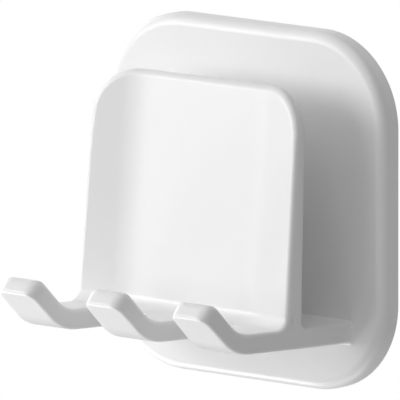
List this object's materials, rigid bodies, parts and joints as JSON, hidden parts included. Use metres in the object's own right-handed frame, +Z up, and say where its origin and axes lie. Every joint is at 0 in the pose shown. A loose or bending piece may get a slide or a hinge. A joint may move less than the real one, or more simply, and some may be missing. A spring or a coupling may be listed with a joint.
{
  "type": "wall-held razor holder",
  "caption": "Square wall pad with a tilted shelf, a dished splash panel and upturned hooks; razors hang by their heads in the gaps between the hooks.",
  "frame": {"origin": "centre of the face that lies on the wall", "axes": "+X to the right as seen from the room, +Z up, -Y out from the wall"},
  "size_m": [0.09, 0.0611, 0.09],
  "materials": {
    "white_moulding": "satin white moulded ABS",
    "plate_plastic": "plain moulded plastic",
    "zinc_steel": "zinc plated",
    "tape_foam": "double-sided tape",
    "magnet_rubber": "magnet sheet, matt",
    "facing_plastic": "thin white facing"
  },
  "bodies": {
    "root": {"pad_shell": "white_moulding", "hook_bracket": "white_moulding", "inner_plate": "plate_plastic", "bracket_screws": "zinc_steel", "bonding_tape": "tape_foam", "magnet_sheet": "magnet_rubber", "facing_film": "facing_plastic"}
  },
  "joints": []
}
